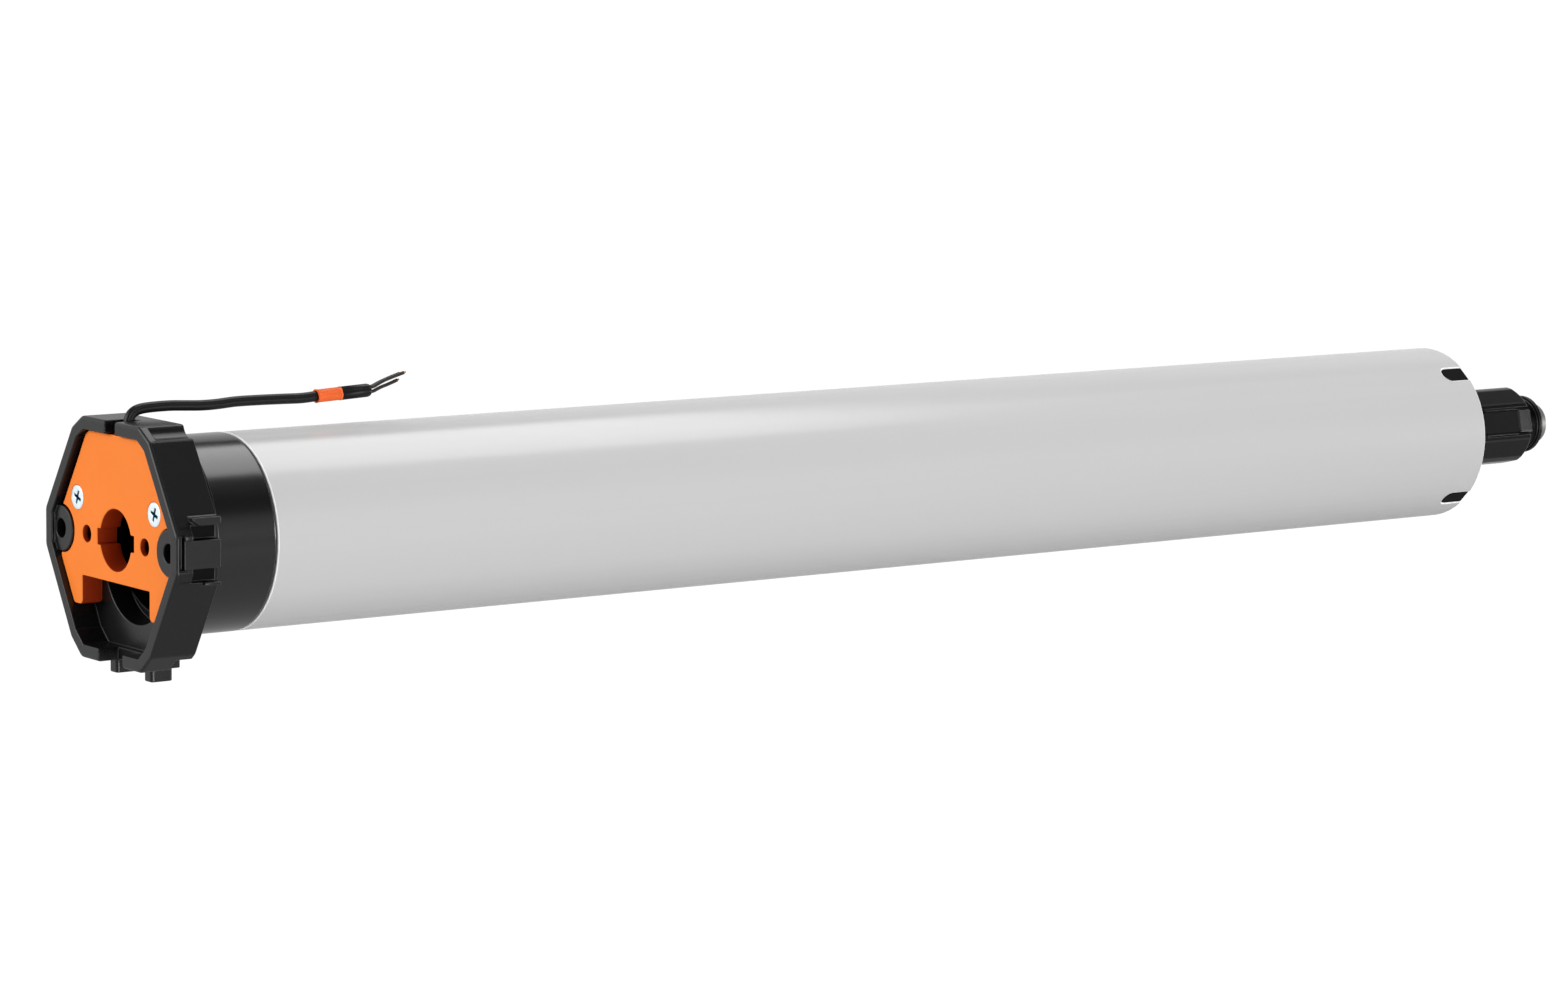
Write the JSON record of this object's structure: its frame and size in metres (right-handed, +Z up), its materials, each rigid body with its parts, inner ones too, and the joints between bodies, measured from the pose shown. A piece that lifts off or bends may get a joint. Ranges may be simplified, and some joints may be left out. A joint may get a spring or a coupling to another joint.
{
  "type": "tubular roller blind motor",
  "caption": "Slim tubular motor for a roller blind: flanged head with an orange bracket plate and short lead, idle crown ring, long pale tube, geared drive hub at the far end.",
  "frame": {"origin": "centre of the round socket in the front face of the orange bracket plate, on the motor's axis", "axes": "+X along the motor from the head to the drive hub, +Z up towards the lead, +Y to the left seen from the head end"},
  "size_m": [0.4425, 0.059, 0.0648],
  "materials": {
    "head_plastic": "satin black moulding",
    "plate_plastic": "flat orange moulding",
    "zinc_steel": "bright zinc plate",
    "clamp_plastic": "matt",
    "lead_sheath": "satin black flexible sheath",
    "marker_orange": "matt orange tape",
    "wire_insulation": "brown and black insulation",
    "ring_plastic": "glossy black moulding",
    "inner_plastic": "matt dark moulding",
    "tube_metal": "pale satin drawn tube",
    "circuit_board": "green laminate",
    "terminal_plastic": "matt",
    "relay_plastic": "gloss",
    "coil_copper": "enamelled copper wire",
    "capacitor_case": "pale gloss case",
    "magnet_ferrite": "dark ferrite",
    "bell_aluminium": "die cast",
    "bearing_steel": "ground steel",
    "core_steel": "stacked sheet steel",
    "shaft_steel": "ground steel",
    "friction_lining": "matt friction lining",
    "gear_steel": "sintered steel",
    "cap_plastic": "matt black moulding",
    "bush_bronze": "sintered bronze",
    "hub_plastic": "satin black moulding"
  },
  "bodies": {
    "housing": {"head_housing": "head_plastic", "face_plate": "plate_plastic", "plate_screws": "zinc_steel", "lead_clamp": "clamp_plastic", "lead": "lead_sheath", "inner_lead": "lead_sheath", "shrink_sleeve": "lead_sheath", "marker_band": "marker_orange", "wire_ends": "wire_insulation", "tube_adapter": "inner_plastic", "board_tray": "inner_plastic", "motor_tube": "tube_metal", "control_board": "circuit_board", "encoder_board": "circuit_board", "terminal_block": "terminal_plastic", "relays": "relay_plastic", "supply_coil": "coil_copper", "windings": "coil_copper", "brake_coil": "coil_copper", "run_capacitor": "capacitor_case", "rear_end_bell": "bell_aluminium", "front_end_bell": "bell_aluminium", "gear_cover": "bell_aluminium", "rear_bearing": "bearing_steel", "front_bearing": "bearing_steel", "stator_core": "core_steel", "brake_magnet": "core_steel", "brake_spring": "shaft_steel", "gear_sleeve": "gear_steel", "drive_end_cap": "cap_plastic", "output_bush": "bush_bronze"},
    "running_ring": {"running_ring": "ring_plastic"},
    "brake_armature": {"brake_armature": "shaft_steel"},
    "rotor": {"rotor_core": "core_steel", "rotor_shaft": "shaft_steel", "magnet_wheel": "magnet_ferrite", "brake_disc": "friction_lining", "sun_gear_1": "gear_steel"},
    "stage_1_carrier": {"carrier_1": "gear_steel", "sun_gear_2": "gear_steel"},
    "stage_2_carrier": {"carrier_2": "gear_steel", "sun_gear_3": "gear_steel"},
    "output": {"output_carrier": "gear_steel", "output_shaft": "shaft_steel", "drive_hub": "hub_plastic", "end_washer": "zinc_steel", "end_screw": "zinc_steel"},
    "planet_1a": {"planet_1a": "gear_steel"},
    "planet_1b": {"planet_1b": "gear_steel"},
    "planet_1c": {"planet_1c": "gear_steel"},
    "planet_2a": {"planet_2a": "gear_steel"},
    "planet_2b": {"planet_2b": "gear_steel"},
    "planet_2c": {"planet_2c": "gear_steel"},
    "planet_3a": {"planet_3a": "gear_steel"},
    "planet_3b": {"planet_3b": "gear_steel"},
    "planet_3c": {"planet_3c": "gear_steel"}
  },
  "joints": [
    {"name": "output_spin", "type": "hinge", "parent": "housing", "child": "output", "pos_m": [0.3865, 0, 0], "axis": [1, 0, 0], "continuous": true},
    {"name": "running_ring_spin", "type": "hinge", "parent": "housing", "child": "running_ring", "pos_m": [0.0204, 0, 0], "axis": [1, 0, 0], "continuous": true},
    {"name": "brake_release", "type": "slide", "parent": "housing", "child": "brake_armature", "axis": [1, 0, 0], "range_m": [-0.0004, 0], "stiffness_N_per_m": 5000, "springref_m": 0.001},
    {"name": "stage_2_carrier_spin", "type": "hinge", "parent": "housing", "child": "stage_2_carrier", "pos_m": [0.3637, 0, 0], "axis": [1, 0, 0], "continuous": true},
    {"name": "stage_1_carrier_spin", "type": "hinge", "parent": "housing", "child": "stage_1_carrier", "pos_m": [0.3509, 0, 0], "axis": [1, 0, 0], "continuous": true},
    {"name": "rotor_spin", "type": "hinge", "parent": "housing", "child": "rotor", "pos_m": [0.2647, 0, 0], "axis": [1, 0, 0], "continuous": true},
    {"name": "planet_1a_spin", "type": "hinge", "parent": "stage_1_carrier", "child": "planet_1a", "pos_m": [0.3445, 0.0108, 0], "axis": [1, 0, 0], "continuous": true},
    {"name": "planet_1b_spin", "type": "hinge", "parent": "stage_1_carrier", "child": "planet_1b", "pos_m": [0.3445, -0.0054, 0.00935], "axis": [1, 0, 0], "continuous": true},
    {"name": "planet_1c_spin", "type": "hinge", "parent": "stage_1_carrier", "child": "planet_1c", "pos_m": [0.3445, -0.0054, -0.00935], "axis": [1, 0, 0], "continuous": true},
    {"name": "planet_2a_spin", "type": "hinge", "parent": "stage_2_carrier", "child": "planet_2a", "pos_m": [0.3573, 0.0108, 0], "axis": [1, 0, 0], "continuous": true},
    {"name": "planet_2b_spin", "type": "hinge", "parent": "stage_2_carrier", "child": "planet_2b", "pos_m": [0.3573, -0.0054, 0.00935], "axis": [1, 0, 0], "continuous": true},
    {"name": "planet_2c_spin", "type": "hinge", "parent": "stage_2_carrier", "child": "planet_2c", "pos_m": [0.3573, -0.0054, -0.00935], "axis": [1, 0, 0], "continuous": true},
    {"name": "planet_3a_spin", "type": "hinge", "parent": "output", "child": "planet_3a", "pos_m": [0.3721, 0.0108, 0], "axis": [1, 0, 0], "continuous": true},
    {"name": "planet_3b_spin", "type": "hinge", "parent": "output", "child": "planet_3b", "pos_m": [0.3721, -0.0054, 0.00935], "axis": [1, 0, 0], "continuous": true},
    {"name": "planet_3c_spin", "type": "hinge", "parent": "output", "child": "planet_3c", "pos_m": [0.3721, -0.0054, -0.00935], "axis": [1, 0, 0], "continuous": true}
  ],
  "couplings": [
    {"joint": "stage_2_carrier_spin", "follows": "output_spin", "ratio": 4.5},
    {"joint": "stage_1_carrier_spin", "follows": "output_spin", "ratio": 20.25},
    {"joint": "rotor_spin", "follows": "output_spin", "ratio": 91.125},
    {"joint": "planet_1a_spin", "follows": "output_spin", "ratio": -56.7},
    {"joint": "planet_1b_spin", "follows": "output_spin", "ratio": -56.7},
    {"joint": "planet_1c_spin", "follows": "output_spin", "ratio": -56.7},
    {"joint": "planet_2a_spin", "follows": "output_spin", "ratio": -12.6},
    {"joint": "planet_2b_spin", "follows": "output_spin", "ratio": -12.6},
    {"joint": "planet_2c_spin", "follows": "output_spin", "ratio": -12.6},
    {"joint": "planet_3a_spin", "follows": "output_spin", "ratio": -2.8},
    {"joint": "planet_3b_spin", "follows": "output_spin", "ratio": -2.8},
    {"joint": "planet_3c_spin", "follows": "output_spin", "ratio": -2.8}
  ]
}
